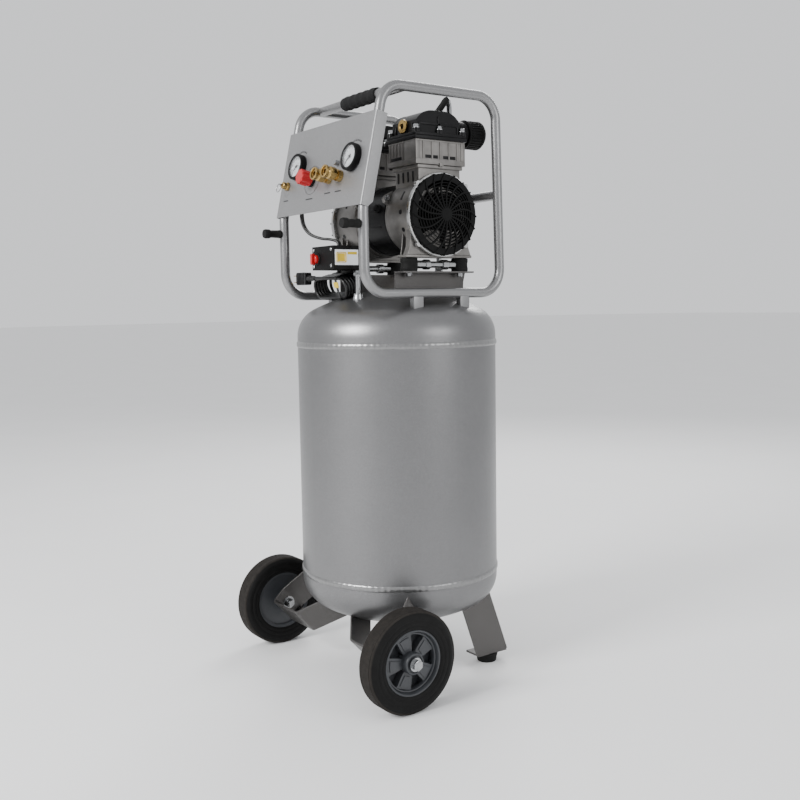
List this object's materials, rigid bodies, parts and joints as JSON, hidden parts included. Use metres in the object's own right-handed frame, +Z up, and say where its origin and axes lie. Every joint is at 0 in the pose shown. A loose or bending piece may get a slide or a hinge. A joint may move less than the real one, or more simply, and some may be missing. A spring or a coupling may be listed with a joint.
{
  "type": "portable air compressor",
  "caption": "Upright-tank portable air compressor: twin-cylinder pump in a tubular cage over a vertical tank, sloped control panel, two wheels in front and two rubber feet behind.",
  "frame": {"origin": "centre of the bounding box at floor level, measured without the power cord, its hank and its plug", "axes": "+Z up along the tank, +X along the motor shaft, -Y the side with the control panel and the wheels"},
  "size_m": [0.552, 0.451, 1.1445],
  "materials": {
    "silver_paint": "satin metallic silver enamel",
    "cast_aluminium": "as-cast, slightly warm grey",
    "black_plastic": "fine-grained black",
    "black_enamel": "satin black enamel",
    "rubber": "dull black",
    "tyre": "dull black",
    "hub_plastic": "satin blue-grey",
    "brass": "polished",
    "steel": "zinc plated",
    "red_plastic": "glossy red"
  },
  "bodies": {
    "chassis": {"tank_shell": "silver_paint", "frame_loop_left": "silver_paint", "frame_loop_right": "silver_paint", "handle_bar": "silver_paint", "motor_platform": "silver_paint", "control_panel": "silver_paint", "wheel_bracket_left": "silver_paint", "wheel_bracket_right": "silver_paint", "rear_leg_left": "silver_paint", "rear_leg_right": "silver_paint", "crankcase_left": "cast_aluminium", "crankcase_right": "cast_aluminium", "cylinder_left": "cast_aluminium", "cylinder_right": "cast_aluminium", "stator_shell": "black_enamel", "cylinder_head_left": "black_plastic", "cylinder_head_right": "black_plastic", "intake_filter_left": "black_plastic", "intake_filter_right": "black_plastic", "fan_cover_left": "black_plastic", "fan_cover_right": "black_plastic", "pressure_switch": "black_plastic", "gauge_left": "black_plastic", "gauge_right": "black_plastic", "foam_grip": "rubber", "hose_peg_left": "rubber", "hose_peg_right": "rubber", "rubber_mount_front_left": "rubber", "rubber_mount_front_right": "rubber", "rubber_mount_rear_left": "rubber", "rubber_mount_rear_right": "rubber", "foot_left": "rubber", "foot_right": "rubber", "discharge_line": "rubber", "control_hose": "rubber", "cord_hank": "rubber", "power_cord": "rubber", "power_plug": "rubber", "drain_valve": "brass", "check_valve": "brass", "regulator_manifold": "brass", "safety_valve": "brass", "axle_bolt_left": "steel", "axle_bolt_right": "steel", "riser_pipe": "steel"},
    "wheel_left": {"wheel_hub_left": "hub_plastic", "tyre_left": "tyre"},
    "wheel_right": {"wheel_hub_right": "hub_plastic", "tyre_right": "tyre"},
    "rotor": {"rotor": "steel"},
    "piston_left": {"piston_left": "steel"},
    "piston_right": {"piston_right": "steel"},
    "switch_lever": {"switch_lever": "red_plastic"},
    "regulator_knob": {"regulator_knob": "red_plastic"},
    "coupler_sleeve_left": {"coupler_sleeve_left": "brass"},
    "coupler_sleeve_right": {"coupler_sleeve_right": "brass"},
    "safety_ring": {"safety_ring": "steel"},
    "gauge_needle_left": {"gauge_needle_left": "black_plastic"},
    "gauge_needle_right": {"gauge_needle_right": "black_plastic"},
    "drain_lever": {"drain_lever": "red_plastic"}
  },
  "joints": [
    {"name": "wheel_left_spin", "type": "hinge", "parent": "chassis", "child": "wheel_left", "pos_m": [-0.2415, -0.1305, 0.095], "axis": [1, 0, 0], "continuous": true},
    {"name": "wheel_right_spin", "type": "hinge", "parent": "chassis", "child": "wheel_right", "pos_m": [0.2415, -0.1305, 0.095], "axis": [1, 0, 0], "continuous": true},
    {"name": "rotor_spin", "type": "hinge", "parent": "chassis", "child": "rotor", "pos_m": [0, 0.0385, 0.902], "axis": [1, 0, 0], "continuous": true},
    {"name": "piston_right_stroke", "type": "slide", "parent": "chassis", "child": "piston_right", "axis": [0, 0, 1], "range_m": [-0.012, 0.012]},
    {"name": "piston_left_stroke", "type": "slide", "parent": "chassis", "child": "piston_left", "axis": [0, 0, 1], "range_m": [-0.012, 0.012]},
    {"name": "switch_lever_turn", "type": "hinge", "parent": "chassis", "child": "switch_lever", "pos_m": [-0.02, -0.1468, 0.823], "axis": [0, 1, 0], "range_deg": [0, 60]},
    {"name": "regulator_turn", "type": "hinge", "parent": "chassis", "child": "regulator_knob", "pos_m": [-0.034, -0.16234, 0.97872], "axis": [0, -0.9759, 0.2181], "range_deg": [-170, 170]},
    {"name": "coupler_left_release", "type": "slide", "parent": "chassis", "child": "coupler_sleeve_left", "axis": [0, 0.9759, -0.2181], "range_m": [0, 0.003], "stiffness_N_per_m": 900},
    {"name": "coupler_right_release", "type": "slide", "parent": "chassis", "child": "coupler_sleeve_right", "axis": [0, 0.9759, -0.2181], "range_m": [0, 0.003], "stiffness_N_per_m": 900},
    {"name": "safety_ring_pull", "type": "slide", "parent": "chassis", "child": "safety_ring", "axis": [0, -0.9759, 0.2181], "range_m": [0, 0.005], "stiffness_N_per_m": 400},
    {"name": "gauge_left_reading", "type": "hinge", "parent": "chassis", "child": "gauge_needle_left", "pos_m": [-0.092, -0.14728, 1.00712], "axis": [0, 0.9759, -0.2181], "range_deg": [0, 270], "stiffness_Nm_per_rad": 0.002},
    {"name": "gauge_right_reading", "type": "hinge", "parent": "chassis", "child": "gauge_needle_right", "pos_m": [0.108, -0.14837, 1.00224], "axis": [0, 0.9759, -0.2181], "range_deg": [0, 270], "stiffness_Nm_per_rad": 0.002},
    {"name": "drain_lever_turn", "type": "hinge", "parent": "chassis", "child": "drain_lever", "pos_m": [-0.018, 0.0235, 0.0819], "axis": [1, 0, 0], "range_deg": [0, 90]}
  ],
  "couplings": [
    {"joint": "piston_left_stroke", "follows": "piston_right_stroke", "ratio": -1}
  ]
}
